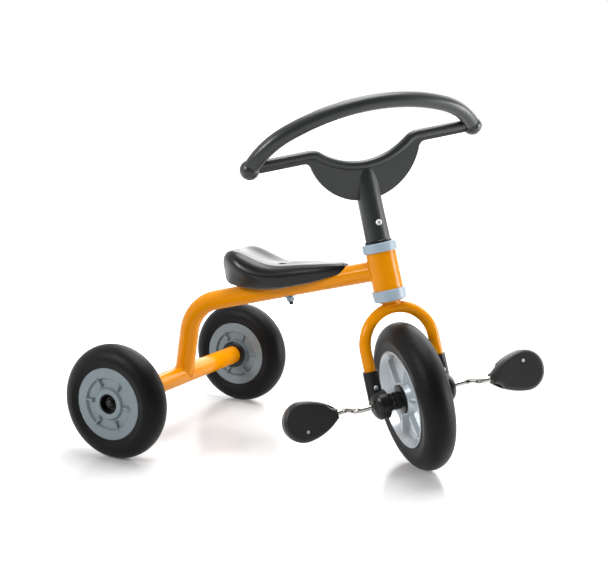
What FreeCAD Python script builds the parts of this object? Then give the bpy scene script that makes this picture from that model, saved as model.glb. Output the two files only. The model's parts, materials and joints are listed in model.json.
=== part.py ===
# Children's tricycle: a one-tube steel frame on a rear axle tube, three solid-tyred wheels, a raked
# steering head with a U-bent fork, cranks bent from the front wheel's own axle rod, a moulded
# handlebar and a moulded saddle.
#
# Frame of the model: +X forward, +Y to the rider's left, +Z up.  The origin is on the ground, on the
# plane of symmetry, under the middle of the tricycle's length.  All sizes are in millimetres.
import FreeCAD, Part
import math
import os

import Sketcher

Vector = FreeCAD.Vector
Placement = FreeCAD.Placement
Rotation = FreeCAD.Rotation

doc = FreeCAD.newDocument("Tricycle")
sheet = doc.addObject("Spreadsheet::Sheet", "size")

# ---------------------------------------------------------------------------------------------
# Driving dimensions
# ---------------------------------------------------------------------------------------------
DIMENSIONS = {
    # overall layout
    "mid_length": 277.97,
    "wheelbase_ground": 490,
    "rake": 14.5,
    "steer_angle": -45,
    "crank_angle": 4,
    # rear wheels, identical left and right
    "rear_radius": 100,
    "rear_width": 52,
    "rear_track_half": 208,
    "rear_rim": 63,
    "rear_barrel": 58,
    "rear_claw_angle": -4,
    "rear_hub_face": 23,
    "rear_hub_dish": 18.6,
    "rear_socket_radius": 17.5,
    "rear_socket_floor": 4,
    # front wheel
    "front_radius": 127,
    "front_width": 54,
    "front_rim": 83,
    "front_barrel": 78,
    "front_offset": 10,
    "front_rib_angle": 55,
    "front_axle_height": 127.7,
    "front_hub_face": 26,
    "front_hub_dish": 12.5,
    "flange_seat": 21,
    # parts common to all the hubs
    "channel_half": 20,
    "rib_count": 6,
    # rear axle
    "shaft_radius": 6,
    "axle_tube_radius": 17.5,
    "axle_tube_half": 174,
    "bush_flange_radius": 26,
    "bush_barrel_radius": 9,
    "running_gap": 0.05,
    "shaft_half": 222.7,
    "axle_washer_radius": 12,
    "axle_washer_thickness": 1.5,
    "axle_nut_flats": 19,
    "axle_nut_height": 8,
    # main tube
    "tube_radius": 17.5,
    "tube_wall": 1.6,
    "tube_bend_radius": 78,
    "tube_root_height": 345.8,
    "tube_corner_x": 20.5,
    # steering head
    "head_radius": 25.5,
    "head_wall": 2.2,
    "head_bottom": 311.6,
    "head_top": 375.5,
    "cup_radius": 29,
    "cup_bottom": 292.4,
    "cup_top": 391,
    "cup_spigot": 12,
    "steerer_radius": 14,
    "steerer_wall": 2,
    "steerer_bottom": 286.5,
    "steerer_top": 452,
    "race_bottom": 290,
    # fork
    "fork_radius": 10,
    "fork_wall": 1.5,
    "fork_half": 62,
    "fork_bend_height": 218,
    "fork_leg_bottom": 152,
    "dropout_sleeve_radius": 13,
    "dropout_sleeve_top": 185,
    "dropout_screw_rise": 30,
    "dropout_boss_radius": 25,
    "dropout_outer": 74.5,
    "dropout_inner": 40.3,
    "crank_bush_radius": 8.5,
    # cranks and pedals
    "rod_radius": 4.5,
    "rod_bend_radius": 11,
    "crank_arm": 50,
    "crank_kink": 104,
    "pedal_inner": 122,
    "pedal_length": 96,
    "pedal_half_width": 34.5,
    "pedal_half_thickness": 14,
    "pedal_rim_radius": 7,
    "pedal_wall": 3,
    "pedal_shoulder": 18,
    "pedal_screw_x": 59,
    "pedal_screw_offset": 17,
    "pedal_head_height": 12.2,
    # handlebar
    "bar_height": 550,
    "bar_forward": 28,
    "bar_half": 197.5,
    "bar_tilt": 19,
    "bead_radius": 8,
    "plate_thickness": 7,
    "plate_radius": 100,
    "plate_centre": 11,
    "bead_line": 4.5,
    "dip_radius": 128,
    "dip_depth": 29,
    "shoulder_radius": 26,
    "bar_underside": 8,
    "armpit_radius": 12,
    "knob_radius": 16.3,
    "arch_radius": 13,
    "arch_wall": 3,
    "arch_tilt": 46,
    "arch_side_bend": 130,
    "arch_mid_angle": 25.5,
    "arch_end_angle": 64,
    "column_radius": 20.3,
    "column_bottom": 395.5,
    "column_top": 530,
    "column_slope_height": 478,
    "column_slope_angle": 50.5,
    "column_screw_height": 424.5,
    # saddle
    "saddle_bolt_x": 220.3,
    "saddle_wall": 4,
    "saddle_cavity_drop": 16,
    "saddle_boss_radius": 13,
    "saddle_bolt_radius": 4,
    "saddle_recess_radius": 7.5,
    "saddle_recess_floor": 34,
    "bolt_gap": 0.2,
}

for row, (alias, number) in enumerate(DIMENSIONS.items(), start=1):
    sheet.set(f"A{row}", alias)
    sheet.set(f"B{row}", str(number))
    sheet.setAlias(f"B{row}", alias)
doc.recompute()


def value(expression):
    """Number that an expression over the sheet's cells stands for."""
    return float(sheet.evalExpression(str(expression)))


def size(alias):
    return float(sheet.get(alias))


# ---------------------------------------------------------------------------------------------
# Local frames: each group of parts is drawn in its own frame and set in place by its Placement
# ---------------------------------------------------------------------------------------------
AXIS_X = Vector(1, 0, 0)
AXIS_Y = Vector(0, 1, 0)
AXIS_Z = Vector(0, 0, 1)


def moved(x, y, z):
    return Placement(Vector(x, y, z), Rotation())


def turned(axis, degrees):
    return Placement(Vector(0, 0, 0), Rotation(axis, degrees))


# frame: on the ground under the rear axle
AT_FRAME = moved(-size("mid_length"), 0, 0)
# head: where the steering axis meets the ground, Z up along that axis
AT_HEAD = AT_FRAME * moved(size("wheelbase_ground"), 0, 0) * turned(AXIS_Y, -size("rake"))
# steering: as the head, turned with the handlebar; X is the way the front wheel points
AT_STEER = AT_HEAD * turned(AXIS_Z, size("steer_angle"))
# front axle, Y along the axle, and the crank frame, turned with the cranks
AT_AXLE = AT_STEER * moved(size("front_offset"), 0, size("front_axle_height"))
AT_CRANK = AT_AXLE * turned(AXIS_Y, -size("crank_angle"))

SIDES = {"left": 1, "right": -1}


def wheel_side(sign):
    """Turns a wheel's own Z axis to point outwards, to the left for +1 and to the right for -1."""
    return turned(AXIS_X, -90 * sign)


# ---------------------------------------------------------------------------------------------
# Sketch and body helpers
# ---------------------------------------------------------------------------------------------
def origin_feature(body, role):
    return next(item for item in body.Origin.OriginFeatures if item.Role == role)


def new_sketch(body, plane, offset=None):
    """Empty sketch on one of the body's own origin planes, moved along its normal by offset."""
    sketch = body.newObject("Sketcher::SketchObject", body.Name + "_sketch")
    sketch.AttachmentSupport = (origin_feature(body, plane), [""])
    sketch.MapMode = "FlatFace"
    if offset is not None:
        sketch.setExpression("AttachmentOffset.Base.z", offset)
    return sketch


def pin(sketch, geometry, point, x, y):
    """Fixes one point of a sketch at x, y, each an expression over the sheet's cells."""
    for kind, coordinate, axis in (("DistanceX", x, -2), ("DistanceY", y, -1)):
        if abs(value(coordinate)) < 1e-9:
            sketch.addConstraint(Sketcher.Constraint("PointOnObject", geometry, point, axis))
            continue
        index = sketch.addConstraint(
            Sketcher.Constraint(kind, -1, 1, geometry, point, value(coordinate)))
        sketch.setExpression(f"Constraints[{index}]", str(coordinate))


def add_circle(sketch, x, y, radius):
    circle = Part.Circle(Vector(value(x), value(y), 0), AXIS_Z, value(radius))
    geometry = sketch.addGeometry(circle, False)
    index = sketch.addConstraint(Sketcher.Constraint("Radius", geometry, value(radius)))
    sketch.setExpression(f"Constraints[{index}]", radius)
    pin(sketch, geometry, 3, x, y)


def arc_between(start, end, radius, turn):
    """Minor arc from start to end; turn is 1 for anticlockwise and -1 for clockwise."""
    chord = end - start
    reach = math.sqrt(max(radius ** 2 - (chord.Length / 2) ** 2, 0))
    normal = Vector(-chord.y, chord.x, 0).normalize()
    centre = (start + end) * 0.5 + normal * (reach * turn)
    first, last = (start, end) if turn > 0 else (end, start)
    angles = [math.atan2(p.y - centre.y, p.x - centre.x) for p in (first, last)]
    return Part.ArcOfCircle(Part.Circle(centre, AXIS_Z, radius), angles[0], angles[1])


def add_outline(sketch, corners, closed=True):
    """Chain of lines and arcs through corners.

    A corner is (x, y), reached by a straight line, or (x, y, radius, turn), reached by an arc.
    """
    count = len(corners)
    spans = count if closed else count - 1
    points = [Vector(value(corner[0]), value(corner[1]), 0) for corner in corners]
    starts, ends = {}, {}
    for span in range(spans):
        target = (span + 1) % count
        corner = corners[target]
        if len(corner) == 2:
            line = Part.LineSegment(points[span], points[target])
            geometry = sketch.addGeometry(line, False)
            starts[span], ends[span] = (geometry, 1), (geometry, 2)
            continue
        radius, turn = corner[2], corner[3]
        arc = arc_between(points[span], points[target], value(radius), turn)
        geometry = sketch.addGeometry(arc, False)
        starts[span], ends[span] = (geometry, 1), (geometry, 2)
        if turn < 0:
            starts[span], ends[span] = ends[span], starts[span]
        index = sketch.addConstraint(Sketcher.Constraint("Radius", geometry, value(radius)))
        sketch.setExpression(f"Constraints[{index}]", str(radius))
    for span in range(spans):
        pin(sketch, *starts[span], *corners[span][:2])
        following = (span + 1) % count
        if following in starts:
            sketch.addConstraint(Sketcher.Constraint("Coincident", *ends[span], *starts[following]))
    if not closed:
        pin(sketch, *ends[spans - 1], *corners[-1][:2])


def new_body(label, placement):
    body = doc.addObject("PartDesign::Body", label)
    body.Label = label
    body.Placement = placement
    return body


def revolve(body, corners, plane="XZ_Plane"):
    """Turns a closed half section (radius, height) once round the body's Z axis."""
    sketch = new_sketch(body, plane)
    add_outline(sketch, corners)
    feature = body.newObject("PartDesign::Revolution", body.Name + "_revolution")
    feature.Profile = sketch
    feature.ReferenceAxis = (sketch, ["V_Axis"])
    feature.Angle = 360
    return feature


def turned_part(label, placement, corners):
    body = new_body(label, placement)
    revolve(body, corners)
    return body


def ring(inner, outer, bottom, top):
    """Half section of a plain ring."""
    return [(inner, bottom), (outer, bottom), (outer, top), (inner, top)]


def pad(body, sketch, length, both_ways=False):
    feature = body.newObject("PartDesign::Pad", body.Name + "_pad")
    feature.Profile = sketch
    feature.Midplane = both_ways
    feature.setExpression("Length", length)
    return feature


def pipe(body, path, profile):
    feature = body.newObject("PartDesign::AdditivePipe", body.Name + "_pipe")
    feature.Profile = profile
    feature.Spine = (path, [f"Edge{index + 1}" for index in range(path.GeometryCount)])
    return feature


def cut(label, base, tools):
    """base less all the tools, as one document object."""
    tool = tools[0]
    if len(tools) > 1:
        tool = doc.addObject("Part::MultiFuse", label + "_tools")
        tool.Shapes = tools
    feature = doc.addObject("Part::Cut", label)
    feature.Label = label
    feature.Base = base
    feature.Tool = tool
    return feature


def rod(name, placement, radius, start, length):
    """Plain cylinder along the local Z axis of placement, sizes given as expressions."""
    cylinder = doc.addObject("Part::Cylinder", name)
    cylinder.setExpression("Radius", radius)
    cylinder.setExpression("Height", length)
    cylinder.Placement = placement * moved(0, 0, value(start))
    return cylinder


NODES = []


def keep(feature):
    NODES.append(feature)
    return feature


# ---------------------------------------------------------------------------------------------
# Rear wheels: a solid rubber tyre on a hub of two moulded dished halves, turning on a nylon bush
# ---------------------------------------------------------------------------------------------
def tyre_section(barrel, rim, radius, width):
    """Half section of a solid tyre: it fills the hub's channel and ends in a round crown."""
    half = f"{width} / 2"
    crown = f"{radius} - {width} / 2"
    return [
        (barrel, "-size.channel_half"), (rim, "-size.channel_half"), (rim, f"-({half} - 3)"),
        (crown, f"-({half})"), (radius, "0", half, 1), (crown, half, half, 1),
        (rim, f"{half} - 3"), (rim, "size.channel_half"), (barrel, "size.channel_half"),
    ]


# a fin that starts broad near the boss and leans over in a hook at its outer end
REAR_CLAW = [
    ("31", "-4.5"), ("46", "-3", "60", -1), ("53", "4", "14", 1), ("44", "2.6", "22", -1),
    ("31", "4.5", "60", -1),
]


def rear_outer_half(label, placement):
    """Dished outer half: rim lip, face plate, and a deep socket for the axle nut."""
    body = new_body(label, placement)
    face = "size.rear_hub_face"
    dish = "size.rear_hub_dish"
    socket = "size.rear_socket_radius"
    revolve(body, [
        ("size.bush_barrel_radius", "0"), ("21", "0"), ("21", "15"), ("54.5", "15"), ("54.5", "0"),
        ("size.rear_barrel", "0"), ("size.rear_barrel", "size.channel_half"),
        ("size.rear_rim", "size.channel_half"), ("size.rear_rim", f"{face} - 1.4"),
        ("size.rear_rim - 1.4", face, "1.4", 1), ("46", face), ("43", dish), ("29", dish), ("26", face),
        (f"{socket} + 1.2", face), (socket, f"{face} - 1.2", "1.2", 1), (socket, "size.rear_socket_floor"),
        ("size.bush_barrel_radius", "size.rear_socket_floor"),
    ])
    add_ribs(body, dish, "5.6", REAR_CLAW, 1)
    return body


def rear_inner_half(label, placement):
    """Dished inner half: as the outer, with a boss that carries the bush's barrel."""
    body = new_body(label, placement)
    face = "size.rear_hub_face"
    dish = "size.rear_hub_dish"
    barrel = "size.bush_barrel_radius"
    revolve(body, [
        (barrel, f"-{face} - 1"), ("24", f"-{face} - 1"), ("27", f"-{dish}"), ("43", f"-{dish}"),
        ("46", f"-{face}"), ("size.rear_rim - 1.4", f"-{face}"),
        ("size.rear_rim", f"-{face} + 1.4", "1.4", 1), ("size.rear_rim", "-size.channel_half"),
        ("size.rear_barrel", "-size.channel_half"), ("size.rear_barrel", "0"), ("54.5", "0"),
        ("54.5", "-15"), ("14", "-15"), ("14", "0"), (barrel, "0"),
    ])
    add_ribs(body, f"-{dish}", "5.6", REAR_CLAW, -1)
    return body


def add_ribs(body, face, height, outline, side):
    """Pattern of like ribs round a hub's face, drafted so that the moulding leaves its die."""
    sketch = new_sketch(body, "XY_Plane", face)
    add_outline(sketch, outline)
    feature = pad(body, sketch, height)
    feature.Reversed = side < 0
    feature.TaperAngle = -18
    pattern = body.newObject("PartDesign::PolarPattern", body.Name + "_pattern")
    pattern.Originals = [feature]
    pattern.Axis = (origin_feature(body, "Z_Axis"), [""])
    pattern.Angle = 360
    pattern.setExpression("Occurrences", "size.rib_count")
    body.Tip = pattern


for side, sign in SIDES.items():
    at_wheel = (AT_FRAME * moved(0, sign * size("rear_track_half"), size("rear_radius"))
                * wheel_side(sign) * turned(AXIS_Z, size("rear_claw_angle")))
    keep(turned_part(f"rear_tyre_{side}", at_wheel, tyre_section(
        "size.rear_barrel", "size.rear_rim", "size.rear_radius", "size.rear_width")))
    keep(rear_outer_half(f"rear_hub_outer_{side}", at_wheel))
    keep(rear_inner_half(f"rear_hub_inner_{side}", at_wheel))
    bush_bore = "size.shaft_radius + size.running_gap"
    lining = "size.rear_socket_radius - 1.6"
    keep(turned_part(f"rear_hub_bush_{side}", at_wheel, [
        (bush_bore, "-26"), ("size.bush_barrel_radius", "-26"),
        ("size.bush_barrel_radius", "size.rear_socket_floor"),
        ("size.rear_socket_radius", "size.rear_socket_floor"),
        ("size.rear_socket_radius", "size.rear_hub_face - 1.4"), (lining, "size.rear_hub_face - 1.4"),
        (lining, "size.rear_socket_floor + 1.4"), (bush_bore, "size.rear_socket_floor + 1.4"),
    ]))

# ---------------------------------------------------------------------------------------------
# Rear axle: steel tube across the frame, flanged end bushes, a steel shaft with washers and nuts
# ---------------------------------------------------------------------------------------------
AT_REAR_AXLE = AT_FRAME * moved(0, 0, size("rear_radius")) * turned(AXIS_X, -90)

keep(turned_part("rear_axle_tube", AT_REAR_AXLE, ring(
    "size.axle_tube_radius - size.tube_wall", "size.axle_tube_radius",
    "-size.axle_tube_half", "size.axle_tube_half")))

shaft = new_body("rear_axle_shaft", AT_REAR_AXLE)
revolve(shaft, [
    ("0", "-size.shaft_half"), ("size.shaft_radius - 1", "-size.shaft_half"),
    ("size.shaft_radius", "-size.shaft_half + 1"), ("size.shaft_radius", "size.shaft_half - 1"),
    ("size.shaft_radius - 1", "size.shaft_half"), ("0", "size.shaft_half"),
])
keep(shaft)

for side, sign in SIDES.items():
    at_end = AT_FRAME * moved(0, 0, size("rear_radius")) * wheel_side(sign)
    keep(turned_part(f"axle_end_bush_{side}", at_end, [
        ("size.shaft_radius", "size.axle_tube_half - 16"),
        ("size.axle_tube_radius - size.tube_wall", "size.axle_tube_half - 16"),
        ("size.axle_tube_radius - size.tube_wall", "size.axle_tube_half"),
        ("size.bush_flange_radius - 3", "size.axle_tube_half"),
        ("size.bush_flange_radius", "size.axle_tube_half + 2.5", "3.2", 1),
        ("size.bush_flange_radius - 1", "size.axle_tube_half + 6"),
        ("12", "size.axle_tube_half + 7.6"),
        ("size.shaft_radius", "size.axle_tube_half + 7.6"),
    ]))


def hexagon(sketch, across_flats):
    """Regular hexagon round the sketch's origin, two of its flats level."""
    corner = f"{across_flats} / sqrt(3)"
    add_outline(sketch, [
        (f"{corner} * cos({angle} deg)", f"{corner} * sin({angle} deg)") for angle in range(0, 360, 60)])


def nut(label, placement, across_flats, hole, length):
    """Hexagon nut standing on the local XY plane."""
    body = new_body(label, placement)
    sketch = new_sketch(body, "XY_Plane")
    hexagon(sketch, across_flats)
    add_circle(sketch, "0", "0", hole)
    pad(body, sketch, length)
    return body


def cap_nut(label, placement):
    """Axle nut closed by a dome, which hides the end of the shaft."""
    height = "size.axle_nut_height"
    dome = "size.axle_nut_flats / 2 - 0.9"
    body = nut(label, placement, "size.axle_nut_flats", "size.shaft_radius", height)
    revolve(body, [
        ("0", height), (dome, height), ("2", f"{height} + 6.5", dome, 1), ("0", f"{height} + 6.5"),
    ])
    return body


def group(label, members):
    """Like pieces in one node, each still a solid of its own."""
    feature = doc.addObject("Part::Compound", label)
    feature.Label = label
    feature.Links = members
    return keep(feature)


# the washer clears the turning bush by 0.3 mm, and the nut is drawn up on the washer
WASHER_SEAT = size("rear_track_half") + size("rear_socket_floor") + 1.4 + 0.3
group("rear_axle_washers", [
    turned_part(f"axle_washer_{side}",
                AT_FRAME * moved(0, sign * WASHER_SEAT, size("rear_radius")) * wheel_side(sign),
                ring("size.shaft_radius", "size.axle_washer_radius", "0", "size.axle_washer_thickness"))
    for side, sign in SIDES.items()])
NUT_SEAT = WASHER_SEAT + size("axle_washer_thickness")
group("rear_axle_nuts", [
    cap_nut(f"axle_nut_{side}",
            AT_FRAME * moved(0, sign * NUT_SEAT, size("rear_radius")) * wheel_side(sign))
    for side, sign in SIDES.items()])

# ---------------------------------------------------------------------------------------------
# Main tube: one bent steel tube, mitred to the head tube at the top and to the axle tube below
# ---------------------------------------------------------------------------------------------
RAKE = math.radians(size("rake"))
tube_top = Vector(size("wheelbase_ground") - size("tube_root_height") * math.sin(RAKE), 0,
                  size("tube_root_height") * math.cos(RAKE))
TUBE_AXIS = Vector(math.cos(RAKE), 0, math.sin(RAKE))
tube_corner = tube_top - TUBE_AXIS * ((tube_top.x - size("tube_corner_x")) / TUBE_AXIS.x)
tube_foot = Vector(0, 0, size("rear_radius"))


def bent_route(points, radius):
    """Corners of a three-point route with its middle corner rounded: start, tangent, tangent, end."""
    start, middle, end = points
    back = (start - middle).normalize()
    onward = (end - middle).normalize()
    trim = radius / math.tan(back.getAngle(onward) / 2)
    return start, middle + back * trim, middle + onward * trim, end


saddle_point = tube_top - TUBE_AXIS * ((tube_top.x - size("saddle_bolt_x")) / TUBE_AXIS.x)
AT_SADDLE = (AT_FRAME * Placement(saddle_point, Rotation()) * turned(AXIS_Y, -size("rake")))

route = bent_route((tube_top, tube_corner, tube_foot), size("tube_bend_radius"))
main_blank = new_body("main_tube_blank", AT_FRAME)
path = new_sketch(main_blank, "XZ_Plane")
add_outline(path, [
    (str(route[0].x), str(route[0].z)), (str(route[1].x), str(route[1].z)),
    (str(route[2].x), str(route[2].z), "size.tube_bend_radius", 1), (str(route[3].x), str(route[3].z)),
], closed=False)
section = main_blank.newObject("Sketcher::SketchObject", "main_tube_section")
section.AttachmentSupport = (origin_feature(main_blank, "YZ_Plane"), [""])
section.MapMode = "FlatFace"
section.AttachmentOffset = Placement(
    Vector(0, tube_top.z, tube_top.x), Rotation(AXIS_X, -size("rake")))
add_circle(section, "0", "0", "size.tube_radius")
add_circle(section, "0", "0", "size.tube_radius - size.tube_wall")
pipe(main_blank, path, section)

keep(cut("main_tube", main_blank, [
    rod("head_mitre", AT_HEAD, "size.head_radius", "size.head_bottom", "size.head_top - size.head_bottom"),
    rod("axle_mitre", AT_REAR_AXLE, "size.axle_tube_radius", "-60", "120"),
    rod("saddle_bolt_hole", AT_SADDLE, "size.saddle_bolt_radius + size.bolt_gap", "-30", "60"),
]))

# ---------------------------------------------------------------------------------------------
# Steering head: head tube with a nylon cup pressed into each end
# ---------------------------------------------------------------------------------------------
keep(turned_part("head_tube", AT_HEAD, ring(
    "size.head_radius - size.head_wall", "size.head_radius", "size.head_bottom", "size.head_top")))
CUP_BORE = "size.steerer_radius + size.running_gap"
keep(turned_part("head_cup_upper", AT_HEAD, [
    (CUP_BORE, "size.head_top - size.cup_spigot"),
    ("size.head_radius - size.head_wall", "size.head_top - size.cup_spigot"),
    ("size.head_radius - size.head_wall", "size.head_top"),
    ("size.cup_radius - 0.8", "size.head_top"), ("size.cup_radius", "size.head_top + 0.8"),
    ("size.cup_radius", "size.cup_top - 2.5"), ("size.cup_radius - 2.5", "size.cup_top", "2.5", 1),
    (CUP_BORE, "size.cup_top"),
]))
keep(turned_part("head_cup_lower", AT_HEAD, [
    (CUP_BORE, "size.cup_bottom"), ("size.cup_radius - 3", "size.cup_bottom"),
    ("size.cup_radius - 1.2", "size.cup_bottom + 3", "4", 1),
    ("size.cup_radius", "size.head_bottom - 0.8"), ("size.cup_radius - 0.8", "size.head_bottom"),
    ("size.head_radius - size.head_wall", "size.head_bottom"),
    ("size.head_radius - size.head_wall", "size.head_bottom + size.cup_spigot"),
    (CUP_BORE, "size.head_bottom + size.cup_spigot"),
]))


# ---------------------------------------------------------------------------------------------
# Fork: a U-bent tube, the steerer tube mitred and welded on its crown, a race ring and a collar
# ---------------------------------------------------------------------------------------------
def fork_pipe(label, radii):
    """The fork's bent tube; one radius gives a solid bar, two give a tube."""
    body = new_body(label, AT_STEER)
    path = new_sketch(body, "YZ_Plane")
    crown = "size.fork_bend_height + size.fork_half"
    add_outline(path, [
        ("-size.fork_half", "size.fork_leg_bottom"), ("-size.fork_half", "size.fork_bend_height"),
        ("0", crown, "size.fork_half", -1),
        ("size.fork_half", "size.fork_bend_height", "size.fork_half", -1),
        ("size.fork_half", "size.fork_leg_bottom"),
    ], closed=False)
    profile = new_sketch(body, "XY_Plane", "size.fork_leg_bottom")
    for radius in radii:
        add_circle(profile, "0", "-size.fork_half", radius)
    pipe(body, path, profile)
    return body


DROPOUT_SCREW_HEIGHT = size("front_axle_height") + size("dropout_screw_rise")
AT_DROPOUT_SCREW = {
    side: AT_STEER * moved(0, sign * size("fork_half"), DROPOUT_SCREW_HEIGHT) * turned(AXIS_Y, 90)
    for side, sign in SIDES.items()}
AT_BAR_SCREW = AT_STEER * moved(0, 0, size("column_screw_height")) * turned(AXIS_Y, 90)

keep(cut("fork_tube", fork_pipe("fork_blank", ["size.fork_radius", "size.fork_radius - size.fork_wall"]), [
    rod(f"leg_hole_{side}", place, "2", "-15", "30") for side, place in AT_DROPOUT_SCREW.items()]))
steerer_blank = turned_part("steerer_blank", AT_STEER, ring(
    "size.steerer_radius - size.steerer_wall", "size.steerer_radius", "size.steerer_bottom",
    "size.steerer_top"))
keep(cut("steerer_tube", steerer_blank, [
    fork_pipe("crown_mitre", ["size.fork_radius"]),
    rod("steerer_hole", AT_BAR_SCREW, "3", "-20", "40"),
]))
keep(turned_part("crown_race", AT_STEER, [
    ("size.steerer_radius", "size.race_bottom"), ("19", "size.race_bottom"),
    ("21", "size.race_bottom + 1.2"), ("21", "size.cup_bottom - 0.2"),
    ("size.steerer_radius", "size.cup_bottom - 0.2"),
]))
keep(turned_part("steering_collar", AT_STEER, [
    ("size.steerer_radius", "size.cup_top + 0.2"), ("22", "size.cup_top + 0.2"),
    ("23", "size.cup_top + 1.2"), ("23", "size.column_bottom - 1.2"),
    ("22", "size.column_bottom"), ("size.steerer_radius", "size.column_bottom"),
]))


# ---------------------------------------------------------------------------------------------
# Fork ends: two moulded halves clamp each leg and the bush that the crank rod turns in
# ---------------------------------------------------------------------------------------------
def dropout_blank(side, sign):
    """Sleeve for the leg joined to a domed boss round the axle, before it is split in two."""
    boss = turned_part(f"dropout_boss_{side}", AT_AXLE * wheel_side(sign), [
        ("0", "size.dropout_inner"), ("15", "size.dropout_inner"), ("15", "49"),
        ("size.dropout_boss_radius - 1.5", "49"), ("size.dropout_boss_radius", "50.5"),
        ("size.dropout_boss_radius", "64"), ("14", "size.dropout_outer - 1", "19", 1),
        ("11", "size.dropout_outer"), ("0", "size.dropout_outer"),
    ])
    sleeve = rod(f"dropout_sleeve_{side}",
                 AT_STEER * moved(0, sign * size("fork_half"), 0), "size.dropout_sleeve_radius",
                 "size.front_axle_height", "size.dropout_sleeve_top - size.front_axle_height")
    whole = doc.addObject("Part::Fuse", f"dropout_blank_{side}")
    whole.Base = boss
    whole.Tool = sleeve
    return whole


SPLIT_LEAN = math.degrees(math.atan2(
    size("front_offset"), size("dropout_sleeve_top") - size("front_axle_height")))


def half_space(name, forward):
    """Block that fills the space on one side of the plane through the axle and the leg."""
    block = doc.addObject("Part::Box", name)
    block.Length, block.Width, block.Height = 60, 200, 200
    block.Placement = AT_AXLE * turned(AXIS_Y, -SPLIT_LEAN) * moved(0 if forward else -60, -100, -100)
    return block


for side, sign in SIDES.items():
    for name, forward in (("front", True), ("rear", False)):
        half = doc.addObject("Part::Common", f"dropout_half_{name}_{side}")
        half.Base = dropout_blank(f"{side}_{name}", sign)
        half.Tool = half_space(f"half_space_{name}_{side}", forward)
        keep(cut(f"dropout_{name}_{side}", half, [
            rod(f"leg_bore_{name}_{side}", AT_STEER * moved(0, sign * size("fork_half"), 0),
                "size.fork_radius", "size.fork_leg_bottom", "60"),
            rod(f"bush_bore_{name}_{side}", AT_AXLE * wheel_side(sign), "size.crank_bush_radius",
                "30", "60"),
            rod(f"screw_bore_{name}_{side}", AT_DROPOUT_SCREW[side], "2", "-20", "40"),
        ]))
    keep(turned_part(f"crank_bush_{side}", AT_AXLE * wheel_side(sign), ring(
        "size.rod_radius + size.running_gap", "size.crank_bush_radius", "size.dropout_inner",
        "size.dropout_outer - 0.5")))


def screw(label, placement, shank, length, head, head_height, socket):
    """Socket screw whose shank ends at the local origin and whose head is at +length."""
    body = new_body(label, placement)
    revolve(body, [
        ("0", "0"), (f"{shank} - 0.4", "0"), (shank, "0.4"), (shank, length), (head, length),
        (head, f"{length} + {head_height} * 0.5"), (f"{head} * 0.72", f"{length} + {head_height}", head, 1),
        ("0", f"{length} + {head_height}"),
    ])
    sketch = new_sketch(body, "XY_Plane", f"{length} + {head_height}")
    hexagon(sketch, socket)
    feature = body.newObject("PartDesign::Pocket", body.Name + "_socket")
    feature.Profile = sketch
    feature.setExpression("Length", f"{head_height} * 0.7")
    return body


group("dropout_screws", [
    screw(f"dropout_screw_{side}", place * moved(0, 0, -14.5), "2", "27.5", "3.8", "2.4", "2.5")
    for side, place in AT_DROPOUT_SCREW.items()])

# ---------------------------------------------------------------------------------------------
# Front wheel: solid tyre on two dished hub halves, keyed flanges, and the one-piece crank rod
# ---------------------------------------------------------------------------------------------
keep(turned_part("front_tyre", AT_CRANK * wheel_side(1), tyre_section(
    "size.front_barrel", "size.front_rim", "size.front_radius", "size.front_width")))


# a wedge that widens from the boss to the rim, where its end is round
FRONT_RIB = [("28", "-3.5"), ("72", "-7.5"), ("72", "7.5", "40", 1), ("28", "3.5")]


def front_hub_half(label, placement):
    """Deeply dished half hub with six ribs standing in the dish."""
    body = new_body(label, placement)
    face = "size.front_hub_face"
    dish = "size.front_hub_dish"
    revolve(body, [
        ("12", "0"), ("16", "0"), ("16", "9"), ("74.5", "9"), ("74.5", "0"), ("size.front_barrel", "0"),
        ("size.front_barrel", "size.channel_half"), ("size.front_rim", "size.channel_half"),
        ("size.front_rim", f"{face} - 0.6"), ("80.5", face), ("76", "20"), ("71", dish), ("32", dish),
        ("27", "size.flange_seat"), ("12", "size.flange_seat"),
    ])
    add_ribs(body, dish, "8", FRONT_RIB, 1)
    return body


for side, sign in SIDES.items():
    at_side = AT_CRANK * wheel_side(sign)
    keep(front_hub_half(f"front_hub_{side}", at_side * turned(AXIS_Z, size("front_rib_angle"))))
    keep(turned_part(f"hub_flange_{side}", at_side, [
        ("size.rod_radius", "4"), ("12", "4"), ("12", "size.flange_seat"), ("24", "size.flange_seat"),
        ("25", "size.flange_seat + 1"), ("25", "size.flange_seat + 4"), ("15", "size.flange_seat + 6"),
        ("15", "size.flange_seat + 16"), ("14", "size.flange_seat + 17"),
        ("size.rod_radius", "size.flange_seat + 17"),
    ]))
group("crank_washers", [
    turned_part(f"crank_washer_{side}", AT_CRANK * wheel_side(sign), ring(
        "size.rod_radius", "11", "size.flange_seat + 17", "size.flange_seat + 18.8"))
    for side, sign in SIDES.items()])

crank = new_body("crank_rod", AT_CRANK)
path = new_sketch(crank, "XY_Plane")
tip = "size.pedal_inner + 90"
kink = "size.crank_kink"
arm = "size.crank_arm"
bend = "size.rod_bend_radius"
add_outline(path, [
    (f"-{arm}", f"-({tip})"), (f"-{arm}", f"-{kink} - {bend}"),
    (f"-{arm} + {bend}", f"-{kink}", bend, -1), (f"-{bend}", f"-{kink}"),
    ("0", f"-{kink} + {bend}", bend, 1), ("0", f"{kink} - {bend}"),
    (bend, kink, bend, -1), (f"{arm} - {bend}", kink),
    (arm, f"{kink} + {bend}", bend, 1), (arm, tip),
], closed=False)
section = new_sketch(crank, "XZ_Plane", tip)
add_circle(section, f"-{arm}", "0", "size.rod_radius")
pipe(crank, path, section)
keep(crank)

# ---------------------------------------------------------------------------------------------
# Pedals: two moulded egg-shaped half shells screwed together round the end of the crank rod
# ---------------------------------------------------------------------------------------------
FLANK_RADIUS = 98
FLANK_TURN = math.radians(5.3)
NECK_HOLLOW = 22


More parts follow.
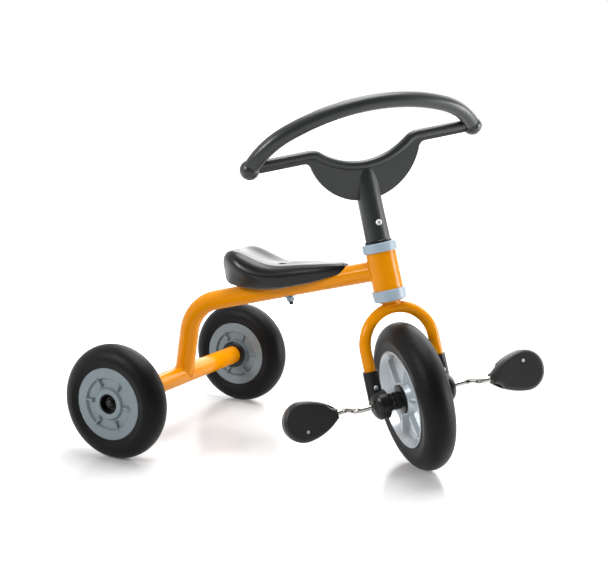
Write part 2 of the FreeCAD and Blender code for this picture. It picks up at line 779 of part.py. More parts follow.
def pedal_outline(sketch, start, inset):
    """Egg: a round outer end, two long flanks tangent to it, and a hollow beside the neck."""
    round_end = size("pedal_half_width")
    centre = size("pedal_length") - round_end
    flank_x = centre + (FLANK_RADIUS - round_end) * math.sin(FLANK_TURN)
    flank_y = (FLANK_RADIUS - round_end) * math.cos(FLANK_TURN)
    flank = FLANK_RADIUS - inset
    tip = round_end - inset
    neck = math.sqrt(flank ** 2 - (flank_x - start) ** 2) - flank_y
    shoulder_x = size("pedal_shoulder") + inset
    shoulder_y = math.sqrt(flank ** 2 - (flank_x - shoulder_x) ** 2) - flank_y
    waist_x = centre - tip * math.sin(FLANK_TURN)
    waist_y = tip * math.cos(FLANK_TURN)
    add_outline(sketch, [
        (start, -neck), (shoulder_x, -shoulder_y, NECK_HOLLOW, -1), (waist_x, -waist_y, flank, 1),
        (centre + tip, 0, tip, 1),
        (waist_x, waist_y, tip, 1), (start, neck, flank, 1),
    ])


def pedal_block(label, placement):
    """Solid half pedal with a flat tread face and a rounded rim."""
    body = new_body(label, placement)
    sketch = new_sketch(body, "XY_Plane")
    pedal_outline(sketch, 0, 0)
    block = pad(body, sketch, "size.pedal_half_thickness")
    doc.recompute()
    top = size("pedal_half_thickness")
    rim = [f"Edge{index + 1}" for index, edge in enumerate(block.Shape.Edges)
           if edge.BoundBox.ZMin > top - 0.01]
    rounded = body.newObject("PartDesign::Fillet", body.Name + "_rim")
    rounded.Base = (block, rim)
    rounded.setExpression("Radius", "size.pedal_rim_radius")
    return body


def pedal_hollow(label, placement, screw_y):
    """Space moulded out of a half pedal, which leaves a spine for the spindle and a screw boss."""
    body = new_body(label, placement)
    sketch = new_sketch(body, "XY_Plane")
    pedal_outline(sketch, 8, size("pedal_wall") + 3)
    pad(body, sketch, "size.pedal_half_thickness - size.pedal_wall")
    spine = rod(label + "_spine", placement * turned(AXIS_Y, 90), "8.5", "0", "100")
    boss = rod(label + "_boss", placement * moved(size("pedal_screw_x"), screw_y, 0), "6.5", "-1", "20")
    return cut(label + "_space", body, [spine, boss])


for side, sign in SIDES.items():
    at_spindle = (AT_CRANK * moved(sign * size("crank_arm"), sign * size("pedal_inner"), 0)
                  * turned(AXIS_Z, 90 * sign) * turned(AXIS_X, 90 * sign))
    at_screw = at_spindle * moved(size("pedal_screw_x"), size("pedal_screw_offset"), 0)
    for name, turn in {"front": 0, "rear": 180}.items():
        at_half = at_spindle * turned(AXIS_X, turn)
        screw_y = size("pedal_screw_offset") * (1 if turn == 0 else -1)
        part_name = f"{name}_{side}"
        keep(cut(f"pedal_{part_name}", pedal_block(f"pedal_block_{part_name}", at_half), [
            pedal_hollow(f"pedal_hollow_{part_name}", at_half, screw_y),
            rod(f"spindle_bore_{part_name}", at_spindle * turned(AXIS_Y, 90),
                "size.rod_radius + size.running_gap", "-1", "93"),
            rod(f"pedal_screw_bore_{part_name}", at_screw, "1.8", "-11", "30"),
            rod(f"pedal_screw_recess_{part_name}", at_screw, "3.6", "size.pedal_head_height", "10"),
        ]))
    keep(screw(f"pedal_screw_{side}", at_screw * moved(0, 0, -10), "1.8",
               "10 + size.pedal_head_height", "3.2", "1.4", "2"))

# ---------------------------------------------------------------------------------------------
# Handlebar: a moulded yoke (column, half-moon plate, beaded crossbar, end balls) and an arch tube
# ---------------------------------------------------------------------------------------------
def tilted(degrees):
    """Frame on the crossbar's middle: X to the left, Y up and leaning forward, Z to the front."""
    lean = math.radians(degrees)
    axes = Rotation(AXIS_Y, Vector(math.sin(lean), 0, math.cos(lean)),
                    Vector(math.cos(lean), 0, -math.sin(lean)), "XYZ")
    return AT_STEER * Placement(Vector(size("bar_forward"), 0, size("bar_height")), axes)


AT_BAR = tilted(size("bar_tilt"))
AT_ARCH = tilted(size("arch_tilt"))

# the bead runs level, turns down round a shoulder, and dips across the middle in one long arc
dip_centre = size("dip_radius") - size("dip_depth")
shoulder_y = size("bead_line") - size("shoulder_radius")
reach = size("dip_radius") + size("shoulder_radius")
shoulder_x = math.sqrt(reach ** 2 - (dip_centre - shoulder_y) ** 2)
blend_x = shoulder_x * size("dip_radius") / reach
blend_y = dip_centre + (shoulder_y - dip_centre) * size("dip_radius") / reach

# the plate's round lower edge meets the crossbar's underside in a hollow at each armpit
armpit_y = -size("bar_underside") - size("armpit_radius")
armpit_reach = size("plate_radius") + size("armpit_radius")
armpit_x = math.sqrt(armpit_reach ** 2 - (armpit_y - size("plate_centre")) ** 2)
edge_x = armpit_x * size("plate_radius") / armpit_reach
edge_y = size("plate_centre") + (armpit_y - size("plate_centre")) * size("plate_radius") / armpit_reach
BAR_END = "(size.bar_half - 8)"


def bead_corners():
    return [
        (f"-{BAR_END}", "size.bead_line"), (-shoulder_x, "size.bead_line"),
        (-blend_x, blend_y, "size.shoulder_radius", -1), (blend_x, blend_y, "size.dip_radius", 1),
        (shoulder_x, "size.bead_line", "size.shoulder_radius", -1), (BAR_END, "size.bead_line"),
    ]


bead = new_body("yoke_bead", AT_BAR)
path = new_sketch(bead, "XY_Plane")
add_outline(path, bead_corners(), closed=False)
section = new_sketch(bead, "YZ_Plane", f"-{BAR_END}")
add_circle(section, "size.bead_line", "0", "size.bead_radius")
pipe(bead, path, section)

plate = new_body("yoke_plate", AT_BAR)
outline = new_sketch(plate, "XY_Plane")
add_outline(outline, [
    (f"-{BAR_END}", "-size.bar_underside"), (-armpit_x, "-size.bar_underside"),
    (-edge_x, edge_y, "size.armpit_radius", -1), (edge_x, edge_y, "size.plate_radius", 1),
    (armpit_x, "-size.bar_underside", "size.armpit_radius", -1), (BAR_END, "-size.bar_underside"),
    (BAR_END, "size.bead_line"), (shoulder_x, "size.bead_line"),
    (blend_x, blend_y, "size.shoulder_radius", 1), (-blend_x, blend_y, "size.dip_radius", -1),
    (-shoulder_x, "size.bead_line", "size.shoulder_radius", 1), (f"-{BAR_END}", "size.bead_line"),
])
pad(plate, outline, "size.plate_thickness", both_ways=True)

column = turned_part("yoke_column", AT_STEER, [
    ("0", "size.column_bottom"), ("size.column_radius + 0.9", "size.column_bottom"),
    ("size.column_radius + 0.7", "size.column_bottom + 10"),
    ("size.column_radius", "size.column_bottom + 60"), ("size.column_radius", "size.column_top"),
    ("0", "size.column_top"),
])
# the back of the column is faired off in a slope that ends under the plate's rim
slope = doc.addObject("Part::Box", "column_slope")
slope.Length, slope.Width, slope.Height = 120, 80, 80
slope.Placement = (AT_STEER * moved(-size("column_radius"), -40, size("column_slope_height"))
                   * turned(AXIS_Y, -size("column_slope_angle")))
faired = doc.addObject("Part::Cut", "yoke_column_faired")
faired.Base = column
faired.Tool = slope

balls = []
for side, sign in SIDES.items():
    ball = doc.addObject("Part::Sphere", f"yoke_ball_{side}")
    ball.setExpression("Radius", "size.knob_radius")
    ball.Placement = AT_BAR * moved(sign * size("bar_half"), 0, 0)
    balls.append(ball)
yoke_blank = doc.addObject("Part::MultiFuse", "yoke_blank")
yoke_blank.Shapes = [bead, plate, faired] + balls

# the arch is three arcs in one plane, and its ends plug into the balls
arch_alpha = math.radians(size("arch_mid_angle"))
arch_beta = math.radians(size("arch_end_angle"))
side_bend = size("arch_side_bend")
side_reach = side_bend * (math.sin(arch_beta) - math.sin(arch_alpha))
mid_bend = (size("bar_half") - side_reach) / math.sin(arch_alpha)
join_x = mid_bend * math.sin(arch_alpha)
join_y = side_bend * (math.cos(arch_alpha) - math.cos(arch_beta))


def arch_pipe(label, radii):
    body = new_body(label, AT_ARCH)
    path = new_sketch(body, "XY_Plane")
    add_outline(path, [
        ("-size.bar_half", "0"), (-join_x, join_y, "size.arch_side_bend", -1),
        (join_x, join_y, mid_bend, -1), ("size.bar_half", "0", "size.arch_side_bend", -1),
    ], closed=False)
    profile = new_sketch(body, "YZ_Plane")
    profile.AttachmentOffset = Placement(
        Vector(0, 0, -size("bar_half")), Rotation(AXIS_Y, size("arch_end_angle")))
    for radius in radii:
        add_circle(profile, "0", "0", radius)
    pipe(body, path, profile)
    return body


keep(arch_pipe("handlebar_arch", ["size.arch_radius", "size.arch_radius - size.arch_wall"]))
keep(cut("handlebar_yoke", yoke_blank, [
    arch_pipe("arch_socket", ["size.arch_radius"]),
    rod("column_bore", AT_STEER, "size.steerer_radius", "size.column_bottom - 1",
        "size.steerer_top - size.column_bottom + 1"),
    rod("column_screw_bore", AT_BAR_SCREW, "3", "-40", "80"),
    rod("column_nut_seat", AT_BAR_SCREW, "7", "-30", "11"),
    rod("column_head_seat", AT_BAR_SCREW, "5.4", "20.6", "6"),
]))
keep(screw("handlebar_screw", AT_BAR_SCREW * moved(0, 0, -26), "3", "46.6", "5", "3", "4"))
keep(nut("handlebar_nut", AT_BAR_SCREW * moved(0, 0, -24), "10", "3", "5"))

# ---------------------------------------------------------------------------------------------
# Saddle: one moulded shell with a raised, flared tail and a nose that hugs the main tube
# ---------------------------------------------------------------------------------------------
# Each section: place along the tube; half width at the floor and at the widest line; then heights
# above the tube's axis of the floor, the widest line, the crests and the top on the middle line.
SADDLE_SECTIONS = [
    (-104, 30, 27, 39, 52, 69, 74),
    (-88, 38, 44, 25, 60, 82, 83),
    (-64, 41, 56, 15, 50, 79, 74),
    (-36, 42, 56, 9, 32, 61, 56),
    (-6, 40, 50, 5, 22, 45, 43),
    (26, 35, 41, 4, 18, 38, 39),
    (58, 29, 33, 4, 16, 33, 35),
    (88, 24, 26, 6, 14, 28, 30),
    (110, 18, 19, 8, 14, 24, 26),
    (122, 9, 10, 11, 14, 19, 21),
]
SADDLE_RIBS = (-62, 52)
SADDLE_END_ROUND = 3


def saddle_loft(sections, inset, drop):
    """Smooth solid through the sections, each one inset all round and its floor dropped."""
    wires = []
    for place, floor_half, wide_half, floor, wide, crest, middle in sections:
        foot = floor_half - 1.6 * inset
        side = wide_half - inset
        ridge = crest - inset
        top = middle - inset
        half = [
            (foot, floor), (foot + (side - foot) * 0.8, floor + (wide - floor) * 0.75), (side, wide),
            (side * 0.9, wide + (ridge - wide) * 0.68), (side * 0.66, ridge),
            (side * 0.33, top + (ridge - top) * 0.3),
        ]
        if drop:
            slope = (side - foot) / (wide - floor)
            half.insert(0, (foot - slope * drop, floor - drop))
        points = [Vector(place, y, z) for y, z in half]
        points.append(Vector(place, 0, top))
        points += [Vector(place, -y, z) for y, z in reversed(half)]
        points.append(Vector(place, 0, floor - drop))
        curve = Part.BSplineCurve()
        curve.interpolate(Points=points, PeriodicFlag=True)
        wires.append(Part.Wire(curve.toShape()))
    return Part.makeLoft(wires, True, False, False, 3)


# the cavity stops short of both ends, and leaves two cross ribs and a boss round the bolt
wall = size("saddle_wall")
cavity = saddle_loft(SADDLE_SECTIONS[1:-1], wall, size("saddle_cavity_drop"))
for place in SADDLE_RIBS:
    cavity = cavity.cut(Part.makeBox(wall, 160, 100, Vector(place, -80, 0)))
cavity = cavity.cut(Part.makeCylinder(size("saddle_boss_radius"), 100))
saddle_block = saddle_loft(SADDLE_SECTIONS, 0, 0)
end_edges = [edge for edge in saddle_block.Edges if edge.BoundBox.XLength < 0.5]
saddle_shell = saddle_block.makeFillet(SADDLE_END_ROUND, end_edges).cut(cavity)
for tool in (
    Part.makeCylinder(size("tube_radius"), 400, Vector(-200, 0, 0), AXIS_X),
    Part.makeCylinder(size("saddle_bolt_radius") + size("bolt_gap"), 100),
    Part.makeCylinder(size("saddle_recess_radius"), 100, Vector(0, 0, size("saddle_recess_floor"))),
):
    saddle_shell = saddle_shell.cut(tool)
saddle = doc.addObject("Part::Feature", "saddle")
saddle.Label = "saddle"
saddle.Shape = saddle_shell
saddle.Placement = AT_SADDLE
keep(saddle)

keep(turned_part("saddle_bolt", AT_SADDLE, [
    ("0", "-32"), ("size.saddle_bolt_radius - 1.6", "-32"),
    ("size.saddle_bolt_radius", "-30", "2.2", 1),
    ("size.saddle_bolt_radius", "size.saddle_recess_floor"), ("6.5", "size.saddle_recess_floor"),
    ("6.5", "size.saddle_recess_floor + 2"), ("4.5", "size.saddle_recess_floor + 4.2", "6.5", 1),
    ("0", "size.saddle_recess_floor + 4.2"),
]))
washer_blank = turned_part("saddle_washer_blank", AT_SADDLE, ring(
    "size.saddle_bolt_radius", "9", "-size.tube_radius - 1.5", "-size.tube_radius + 2.5"))
keep(cut("saddle_washer", washer_blank, [
    rod("washer_seat", AT_SADDLE * moved(-20, 0, 0) * turned(AXIS_Y, 90), "size.tube_radius", "0", "40"),
]))
keep(nut("saddle_nut", AT_SADDLE * moved(0, 0, -size("tube_radius") - 1.5 - 7), "13",
         "size.saddle_bolt_radius", "7"))

# ---------------------------------------------------------------------------------------------
# Check every object and every kept part, then write one STEP file per part
# ---------------------------------------------------------------------------------------------
doc.recompute()
failed = [item.Label for item in doc.Objects if "Invalid" in item.State or "Error" in item.State]
if failed:
    raise RuntimeError("failed objects: " + ", ".join(failed))
for node in NODES:
    if node.Shape.isNull() or not node.Shape.isValid():
        raise RuntimeError("bad shape: " + node.Label)

os.makedirs("parts", exist_ok=True)
for node in NODES:
    node.Shape.exportStep(f"parts/{node.Label}.step")
print(len(NODES), "parts written")
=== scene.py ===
import bpy
import bmesh
import json
import math
from mathutils import Matrix, Vector


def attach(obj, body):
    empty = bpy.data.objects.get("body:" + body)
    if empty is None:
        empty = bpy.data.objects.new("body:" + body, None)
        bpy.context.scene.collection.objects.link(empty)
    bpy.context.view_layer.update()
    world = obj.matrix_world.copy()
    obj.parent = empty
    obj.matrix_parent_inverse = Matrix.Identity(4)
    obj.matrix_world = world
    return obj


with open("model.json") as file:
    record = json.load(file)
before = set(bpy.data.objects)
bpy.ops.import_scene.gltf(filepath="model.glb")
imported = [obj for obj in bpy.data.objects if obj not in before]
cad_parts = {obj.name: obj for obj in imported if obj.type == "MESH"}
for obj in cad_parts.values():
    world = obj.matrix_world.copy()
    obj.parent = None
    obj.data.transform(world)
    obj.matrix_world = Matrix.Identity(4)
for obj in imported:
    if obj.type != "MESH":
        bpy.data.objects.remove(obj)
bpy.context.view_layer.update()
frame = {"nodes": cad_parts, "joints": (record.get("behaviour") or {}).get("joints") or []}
nodes = frame["nodes"]
joints = {joint["name"]: joint for joint in frame["joints"]}


# ------------------------------------------------------------------ frame tubes
# The frame is three mild steel tubes, mitred and TIG welded.  The fork is a fourth, bent to a U, with
# the steerer welded on its crown.  All are powder coated in one colour, and so is the race ring.
MM = 1e-3


def linear(hex_colour):
    channels = [int(hex_colour[i:i + 2], 16) / 255 for i in (1, 3, 5)]
    bright = [c / 12.92 if c <= 0.04045 else ((c + 0.055) / 1.055) ** 2.4 for c in channels]
    return (*bright, 1.0)


def add(shader, kind, settings=None, links=None):
    """Adds a node: settings are its properties or socket values, links are what feeds its sockets."""
    tree = shader.id_data
    node = tree.nodes.new(kind)
    for key, setting in (settings or {}).items():
        if isinstance(key, int) or key in node.inputs:
            node.inputs[key].default_value = setting
        else:
            setattr(node, key, setting)
    for socket, source in (links or {}).items():
        tree.links.new(source, node.inputs[socket])
    return node


def join(shader, socket, source):
    shader.id_data.links.new(source, shader.inputs[socket])


def new_material(name, sockets):
    material = bpy.data.materials.new(name)
    material.use_nodes = True
    shader = material.node_tree.nodes["Principled BSDF"]
    for socket, value in sockets.items():
        shader.inputs[socket].default_value = value
    return material, shader


def cloud(shader, size, detail, tones, rough):
    """Lets colour and roughness drift between two values, in clouds of a size, and gives the place."""
    dark, light = tones
    smooth, dull = rough
    place = add(shader, "ShaderNodeTexCoord").outputs["Object"]
    drift = add(shader, "ShaderNodeTexNoise", {"Scale": 1 / size, "Detail": detail}, {"Vector": place})
    tone = add(shader, "ShaderNodeMix", {"data_type": "RGBA", "A": linear(dark), "B": linear(light)},
               {"Factor": drift.outputs["Fac"]})
    polish = add(shader, "ShaderNodeMapRange", {"To Min": smooth, "To Max": dull},
                 {"Value": drift.outputs["Fac"]})
    join(shader, "Base Color", tone.outputs["Result"])
    join(shader, "Roughness", polish.outputs["Result"])
    return place


def finish_nodes(material, *names):
    for name in names:
        mesh = nodes[name].data
        mesh.materials.clear()
        mesh.materials.append(material)


# Polyester powder flows into a thick glossy film: deep even orange, bright narrow highlights along
# the tubes, and a faint orange peel where the lamps are mirrored.  Its mirror is kept low, because a
# white room would wash the orange out.
COAT_CLOUD = 111 * MM
PEEL_SIZE = 2.2 * MM
PEEL_DEPTH = 0.2 * MM
powder_coat, shader = new_material("orange_polyester_powder_coat", {"IOR": 1.5, "Specular IOR Level": 0.17})
place = cloud(shader, COAT_CLOUD, 3.0, tones=("#D98500", "#DF8D02"), rough=(0.1, 0.16))
peel = add(shader, "ShaderNodeTexNoise", {"Scale": 1 / PEEL_SIZE, "Detail": 1.0}, {"Vector": place})
film = add(shader, "ShaderNodeBump", {"Strength": 0.05, "Distance": PEEL_DEPTH},
           {"Height": peel.outputs["Fac"]})
join(shader, "Normal", film.outputs["Normal"])
finish_nodes(powder_coat, "main_tube", "head_tube", "rear_axle_tube", "fork_tube", "steerer_tube",
             "crown_race")

# ------------------------------------------------------------------ welds
# A TIG bead closes each joint of the frame: the main tube on the head tube and on the axle tube, and
# the steerer on the fork's crown.  Each is a row of overlapping ripples under the same coating.
UP = Vector(joints["steering_turn"]["axis"])
ON_AXIS = Vector(joints["steering_turn"]["pos_m"])
SIDEWAYS = Vector((0, 1, 0))
TUBE_RADIUS = 17.5 * MM
HEAD_RADIUS = 25.5 * MM
BEAD_RADIUS = 1.9 * MM
BEAD_SIDES = 10
BEAD_STEPS = 420
RIPPLE_LENGTH = 2.4 * MM
RIPPLE_SWELL = 0.13


def bead(name, points, body):
    """Rippled bead along a closed line of points."""
    middle = sum(points, Vector()) / len(points)
    built = bmesh.new()
    rings = []
    run = 0.0
    for i, point in enumerate(points):
        run += (point - points[i - 1]).length
        along = points[(i + 1) % len(points)] - points[i - 1]
        across = along.cross(point - middle).normalized()
        outward = across.cross(along).normalized()
        radius = BEAD_RADIUS * (1 + RIPPLE_SWELL * abs(math.sin(math.pi * run / RIPPLE_LENGTH)))
        ring = []
        for side in range(BEAD_SIDES):
            turn = 2 * math.pi * side / BEAD_SIDES
            away = across * math.cos(turn) + outward * math.sin(turn)
            ring.append(built.verts.new(point + away * radius))
        rings.append(ring)
    for i, ring in enumerate(rings):
        before = rings[i - 1]
        for side in range(BEAD_SIDES):
            beside = (side + 1) % BEAD_SIDES
            built.faces.new((before[side], before[beside], ring[beside], ring[side]))
    bmesh.ops.recalc_face_normals(built, faces=built.faces)
    mesh = bpy.data.meshes.new(name)
    built.to_mesh(mesh)
    built.free()
    mesh.shade_smooth()
    mesh.materials.append(powder_coat)
    piece = bpy.data.objects.new(name, mesh)
    bpy.context.collection.objects.link(piece)
    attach(piece, body)


turns = [2 * math.pi * i / BEAD_STEPS for i in range(BEAD_STEPS)]

# The main tube's end is cut to the round of the head tube.
HEAD_JOINT_HEIGHT = 334.786 * MM
tube_line = SIDEWAYS.cross(UP)
tube_root = ON_AXIS + UP * ((HEAD_JOINT_HEIGHT - ON_AXIS.z) / UP.z)
bead("weld_head", [
    tube_root - tube_line * math.sqrt(HEAD_RADIUS ** 2 - (TUBE_RADIUS * math.sin(turn)) ** 2)
    + SIDEWAYS * TUBE_RADIUS * math.sin(turn) + UP * TUBE_RADIUS * math.cos(turn)
    for turn in turns], "frame")

# Its foot is cut to the round of the axle tube, which is as wide.
FOOT_LEAN = math.radians(8.5863)
axle = Vector(joints["rear_wheel_left_spin"]["pos_m"])
axle.y = 0
foot_line = Vector((math.sin(FOOT_LEAN), 0, math.cos(FOOT_LEAN)))
foot_side = SIDEWAYS.cross(foot_line)
bead("weld_axle", [
    axle + foot_line * TUBE_RADIUS * abs(math.sin(turn))
    + SIDEWAYS * TUBE_RADIUS * math.sin(turn) + foot_side * TUBE_RADIUS * math.cos(turn)
    for turn in turns], "frame")

# The steerer's foot saddles the fork's round crown, and laps a little way down its sides.
FORK_RADIUS = 10 * MM
CROWN_CENTRE = 218 * MM
CROWN_RADIUS = 62 * MM
STEERER_EDGE = 13.4 * MM
LOWEST_LAP = 6 * MM
ALONG_AXLE = Vector(joints["front_wheel_spin"]["axis"])
forward = ALONG_AXLE.cross(UP)
ground_point = ON_AXIS - UP * (ON_AXIS.z / UP.z)
line = []
for turn in turns:
    ahead = STEERER_EDGE * math.cos(turn)
    aside = STEERER_EDGE * math.sin(turn)
    hump = math.sqrt(max(FORK_RADIUS ** 2 - ahead ** 2, LOWEST_LAP ** 2))
    height = CROWN_CENTRE + math.sqrt((CROWN_RADIUS + hump) ** 2 - aside ** 2)
    line.append(ground_point + UP * height + forward * ahead + ALONG_AXLE * aside)
bead("weld_crown", line, "steering")

# ------------------------------------------------------------------ fork ends, bushes and collar
# Each fork end is two halves moulded in black glass-filled nylon, clamped on the fork's leg by
# screws.  The bushes, the front hub's flanges and the collar over the head are the same nylon.

# The glass fibre leaves a satin skin: near black, with soft grey light along the edges.  A mould's
# spark-eroded grain is about 0.2 mm, too fine to show, so all the mouldings have it drawn coarser.
FLOW_CLOUD = 71.4 * MM
GRAIN_HEIGHT = 0.2 * MM


def moulded(name, tones, rough, grain, relief, mirror=0.5, flake=0.0):
    """Injection moulded resin, with clouds where it flowed and the grain of the mould's steel."""
    material, shader = new_material(name, {"IOR": 1.5, "Metallic": flake, "Specular IOR Level": mirror})
    place = cloud(shader, FLOW_CLOUD, 4.0, tones, rough)
    spark = add(shader, "ShaderNodeTexNoise", {"Scale": 1 / grain, "Detail": 2.0}, {"Vector": place})
    skin = add(shader, "ShaderNodeBump", {"Strength": relief, "Distance": GRAIN_HEIGHT},
               {"Height": spark.outputs["Fac"]})
    join(shader, "Normal", skin.outputs["Normal"])
    return material


black_nylon = moulded("black_glass_filled_nylon", tones=("#121313", "#191A1A"), rough=(0.22, 0.32),
                      grain=0.7 * MM, relief=0.1, mirror=0.25)
finish_nodes(black_nylon, "dropout_front_left", "dropout_front_right", "dropout_rear_left",
             "dropout_rear_right", "crank_bush_left", "crank_bush_right", "hub_flange_left",
             "hub_flange_right", "rear_hub_bush_left", "rear_hub_bush_right", "axle_end_bush_left",
             "axle_end_bush_right", "steering_collar")

# ------------------------------------------------------------------ head cups
# The steering turns in two cups, one pressed into each end of the head tube.  They are moulded in
# nylon that is coloured in the mass.

# Pale blue grey, with a skin too dull to mirror anything sharply, so that each edge stays soft.
cup_nylon = moulded("pale_blue_grey_nylon", tones=("#91A2B0", "#9CADBA"), rough=(0.3, 0.4),
                    grain=0.6 * MM, relief=0.06)
finish_nodes(cup_nylon, "head_cup_upper", "head_cup_lower")

# ------------------------------------------------------------------ rear hubs
# Each rear hub is two ribbed dishes, moulded in grey polypropylene and joined through the tyre.  They
# turn on the black nylon bush in their middle.

# Mid grey with a low shine, which shows each rib by its lit side.
hub_resin = moulded("grey_polypropylene", tones=("#677378", "#758187"), rough=(0.24, 0.36),
                    grain=0.8 * MM, relief=0.1)
finish_nodes(hub_resin, "rear_hub_outer_left", "rear_hub_outer_right", "rear_hub_inner_left",
             "rear_hub_inner_right")

# ------------------------------------------------------------------ front hub
# The front hub is two larger ribbed dishes of polypropylene with aluminium flake in it.  They are
# keyed to the crank rod by the flanges, and turn with it.

# The flake gives a silver that brightens where a rib turns to the light.
flake_resin = moulded("silver_flake_polypropylene", tones=("#B2BCC2", "#BFC7CC"), rough=(0.22, 0.3),
                      grain=0.8 * MM, relief=0.04, flake=0.4)
finish_nodes(flake_resin, "front_hub_left", "front_hub_right")

# ------------------------------------------------------------------ tyres
# Each tyre is one solid ring of black rubber, vulcanised in a blasted two-part die and held between
# the halves of its hub.

# Nearly black and dull, with a slight bluish bloom at grazing angles.  The blasted grain is about
# 0.3 mm, too fine to show, so it is drawn coarser.
BLOOM_CLOUD = 45.5 * MM
TYRE_GRAIN = 2.6 * MM
TYRE_GRAIN_HEIGHT = 0.5 * MM
rubber, shader = new_material("vulcanised_black_rubber", {
    "IOR": 1.52, "Specular IOR Level": 0.13, "Sheen Weight": 0.03, "Sheen Roughness": 0.5,
    "Sheen Tint": linear("#DDE6EC")})
place = cloud(shader, BLOOM_CLOUD, 4.0, tones=("#030304", "#070809"), rough=(0.4, 0.5))
grit = add(shader, "ShaderNodeTexVoronoi", {"Scale": 1 / TYRE_GRAIN}, {"Vector": place})
skin = add(shader, "ShaderNodeBump", {"Strength": 0.5, "Distance": TYRE_GRAIN_HEIGHT},
           {"Height": grit.outputs["Distance"]})
join(shader, "Normal", skin.outputs["Normal"])
finish_nodes(rubber, "rear_tyre_left", "rear_tyre_right", "front_tyre")

# ------------------------------------------------------------------ crank rod
# One round steel bar, bent cold, is the front axle, both cranks and both pedal pins.  It is polished
# and chromium plated.

# Chromium mirrors the room in thin bright and dark stripes, and wiping leaves it faintly clouded.
WIPE_CLOUD = 16.7 * MM
chrome, shader = new_material("chromium_plate", {"Metallic": 1.0})
cloud(shader, WIPE_CLOUD, 4.0, tones=("#A5A49F", "#B9B8B2"), rough=(0.1, 0.2))
finish_nodes(chrome, "crank_rod")

# ------------------------------------------------------------------ pedals
# Each pedal is two half shells moulded in charcoal polypropylene, screwed together round the end of
# the crank rod.

# A dull charcoal, grained to grip the shoe, which takes only a wide soft highlight.
pedal_resin = moulded("charcoal_polypropylene", tones=("#1D1F1E", "#242625"), rough=(0.34, 0.44),
                      grain=0.8 * MM, relief=0.16, mirror=0.35)
finish_nodes(pedal_resin, "pedal_front_left", "pedal_front_right", "pedal_rear_left", "pedal_rear_right")

# ------------------------------------------------------------------ handlebar
# The column, the plate, the crossbar and its balls are one nylon moulding, slipped over the steerer
# and held by one screw.  The grip is a bent nylon tube whose ends plug into the balls.

# Slate grey and grained for the hands, so that highlights break up along the grip.
bar_nylon = moulded("slate_grey_nylon", tones=("#1D2120", "#252928"), rough=(0.28, 0.38),
                    grain=1.3 * MM, relief=0.3)
finish_nodes(bar_nylon, "handlebar_yoke", "handlebar_arch")

# ------------------------------------------------------------------ saddle
# The saddle is one thin shell moulded in black polypropylene, with ribs beneath it.  It hugs the main
# tube, and one bolt through its boss draws it down.

# Satin black: the top takes the light of the room as one broad pale sheet, and the sides stay black.
saddle_resin = moulded("black_polypropylene", tones=("#030507", "#07090C"), rough=(0.26, 0.35),
                       grain=0.9 * MM, relief=0.05, mirror=0.36)
finish_nodes(saddle_resin, "saddle")

# ------------------------------------------------------------------ axle shaft and saddle bolt
# The rear wheels run on a steel shaft with a washer and a domed nut at each end, and the saddle's
# bolt is of the same steel.  All are blackened in a hot bath and oiled.

# The oxide is near black, and the oil makes it glossy in patches.
OIL_PATCH = 3.33 * MM
oxide, shader = new_material("blackened_steel", {"Base Color": linear("#151617"), "Specular IOR Level": 0.3})
place = add(shader, "ShaderNodeTexCoord").outputs["Object"]
oil = add(shader, "ShaderNodeTexNoise", {"Scale": 1 / OIL_PATCH, "Detail": 3.0}, {"Vector": place})
gloss = add(shader, "ShaderNodeMapRange", {"To Min": 0.24, "To Max": 0.42}, {"Value": oil.outputs["Fac"]})
join(shader, "Roughness", gloss.outputs["Result"])
finish_nodes(oxide, "rear_axle_shaft", "rear_axle_washers", "rear_axle_nuts", "saddle_bolt")

# ------------------------------------------------------------------ screws, nuts and washers
# The small fasteners are turned or stamped steel, zinc plated in a barrel.  The saddle's nut and
# washer are passivated blue.  The screw heads in view are a lighter copy of the same zinc plate: a painted
# highlight for their bright glint.

# Zinc is a dull silver that scatters a highlight.  Its crystals are far finer than a millimetre, so
# they are drawn coarser to show at all.
SPANGLE = 2.5 * MM


def zinc_plated(name, tones, rough):
    material, shader = new_material(name, {"Metallic": 1.0})
    cloud(shader, SPANGLE, 2.0, tones, rough)
    return material


finish_nodes(zinc_plated("zinc_plated_steel", ("#9A9FA2", "#B2B7BA"), (0.22, 0.38)),
             "dropout_screws", "crank_washers", "handlebar_nut")
finish_nodes(zinc_plated("blue_passivated_zinc", ("#6C7A83", "#84929A"), (0.3, 0.44)),
             "saddle_washer", "saddle_nut")
# A lighter copy of the zinc plate, painted brighter so that the screw heads in view show as bright glints.
finish_nodes(zinc_plated("zinc_plate_painted_glint", ("#D2D4D3", "#E4E6E5"), (0.42, 0.56)),
             "pedal_screw_left", "pedal_screw_right", "handlebar_screw")

# ------------------------------------------------------------------ studio
# The tricycle stands on glossy white paper in a white room.  The white glow of both is only what the
# camera and mirrored rays see, so it costs the object no extra light, and its shadow stays.
LENS_SIDE = (0.445, -0.872, 0.2)
ROOM_LIGHT = 0.25
DIM_WALL = 0.2


def mirror_mask(shader):
    """1 for a ray from the camera, a mirror or a glass, and 0 for one that only gathers light."""
    rays = add(shader, "ShaderNodeLightPath").outputs
    direct = add(shader, "ShaderNodeMath", {"operation": "MAXIMUM"},
                 {0: rays["Is Camera Ray"], 1: rays["Is Glossy Ray"]})
    return add(shader, "ShaderNodeMath", {"operation": "MAXIMUM"},
               {0: direct.outputs["Value"], 1: rays["Is Transmission Ray"]}).outputs["Value"]


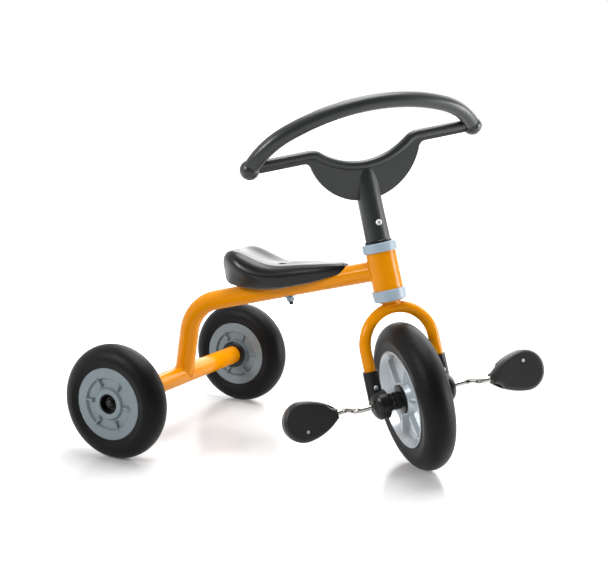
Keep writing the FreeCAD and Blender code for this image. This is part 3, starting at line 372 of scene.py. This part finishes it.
def white_share(shader, place, start, stop):
    """How white the room is: all of it to the lens, and dim on the lens's side to mirrored rays.

    The dimming runs from start to stop, in metres over the paper or as a cosine over the room.
    """
    toward = add(shader, "ShaderNodeVectorMath", {"operation": "DOT_PRODUCT", 1: LENS_SIDE}, {0: place})
    room = add(shader, "ShaderNodeMapRange",
               {"interpolation_type": "SMOOTHSTEP", "From Min": start, "From Max": stop,
                "To Min": 1.0, "To Max": DIM_WALL},
               {"Value": toward.outputs["Value"]})
    rays = add(shader, "ShaderNodeLightPath").outputs
    return add(shader, "ShaderNodeMath", {"operation": "MAXIMUM"},
               {0: rays["Is Camera Ray"], 1: room.outputs["Result"]}).outputs["Value"]


# The paper's own glow is faint under the tricycle, which keeps its shadow, and full well outside it.
GLOW_START = 0.5
GLOW_FULL = 1.3
bpy.ops.mesh.primitive_plane_add(size=40, location=(0, 0, 0))
floor = bpy.context.object
floor.name = "studio_floor"
paper, shader = new_material("white_paper_sheet", {
    "Base Color": linear("#DEDEDE"), "Roughness": 0.2, "Specular IOR Level": 0.3,
    "Emission Color": linear("#FFFFFF")})
place = add(shader, "ShaderNodeTexCoord").outputs["Object"]
reach = add(shader, "ShaderNodeVectorMath", {"operation": "LENGTH"}, {0: place})
white = add(shader, "ShaderNodeMapRange",
            {"interpolation_type": "SMOOTHSTEP", "From Min": GLOW_START, "From Max": GLOW_FULL,
             "To Min": 0.08, "To Max": 1.0},
            {"Value": reach.outputs["Value"]})
glow = add(shader, "ShaderNodeMath", {"operation": "MULTIPLY"},
           {0: mirror_mask(shader), 1: white.outputs["Result"]})
lit = add(shader, "ShaderNodeMath", {"operation": "MULTIPLY"},
          {0: glow.outputs["Value"], 1: white_share(shader, place, start=0.3, stop=0.8)})
join(shader, "Emission Strength", lit.outputs["Value"])
floor.data.materials.append(paper)

world = bpy.data.worlds.new("studio_world")
bpy.context.scene.world = world
world.use_nodes = True
background = world.node_tree.nodes["Background"]
place = add(background, "ShaderNodeTexCoord").outputs["Generated"]
power = add(background, "ShaderNodeMix", {"data_type": "FLOAT", "A": ROOM_LIGHT},
            {"Factor": mirror_mask(background),
             "B": white_share(background, place, start=0.1, stop=0.7)})
background.inputs["Color"].default_value = linear("#FFFFFF")
join(background, "Strength", power.outputs["Result"])

# Four soft boxes are aimed at the middle of the tricycle.  A broad one behind draws the sheet of light
# on the saddle, one above and one to the left of the lens light the tubes, and a low one fills in.
MIDDLE = Vector((0, 0, 0.25))


def softbox(name, place, size, watts):
    lamp = bpy.data.lights.new(name, "AREA")
    lamp.shape = "RECTANGLE"
    lamp.size, lamp.size_y = size
    lamp.energy = watts
    holder = bpy.data.objects.new(name, lamp)
    bpy.context.collection.objects.link(holder)
    holder.location = place
    holder.rotation_euler = (MIDDLE - Vector(place)).to_track_quat("-Z", "Y").to_euler()


softbox("softbox_above", place=(0.1, 0.2, 2.4), size=(1.7, 1.3), watts=58)
softbox("softbox_left", place=(-1.3, -2.4, 1.7), size=(0.9, 0.9), watts=52)
softbox("softbox_right", place=(2.5, 1.1, 0.5), size=(1.2, 0.8), watts=44)
softbox("softbox_behind", place=(0.0, 2.6, 2.0), size=(4.4, 2.2), watts=126)

# ------------------------------------------------------------------ camera
# A long lens stands at the height of the handlebar, to the right of the tricycle and ahead of it,
# and looks a little down.
YAW = 117.73
PITCH = -10.264
ROLL = 0.602
camera = bpy.data.objects.new("camera", bpy.data.cameras.new("camera"))
bpy.context.collection.objects.link(camera)
camera.data.lens = 66.22
camera.data.sensor_width = 36
camera.matrix_world = (Matrix.Translation((0.86603, -1.69646, 0.64224))
                       @ Matrix.Rotation(math.radians(YAW - 90), 4, "Z")
                       @ Matrix.Rotation(math.radians(90 + PITCH), 4, "X")
                       @ Matrix.Rotation(math.radians(ROLL), 4, "Z"))
bpy.context.scene.camera = camera
bpy.context.scene.view_settings.view_transform = "Standard"
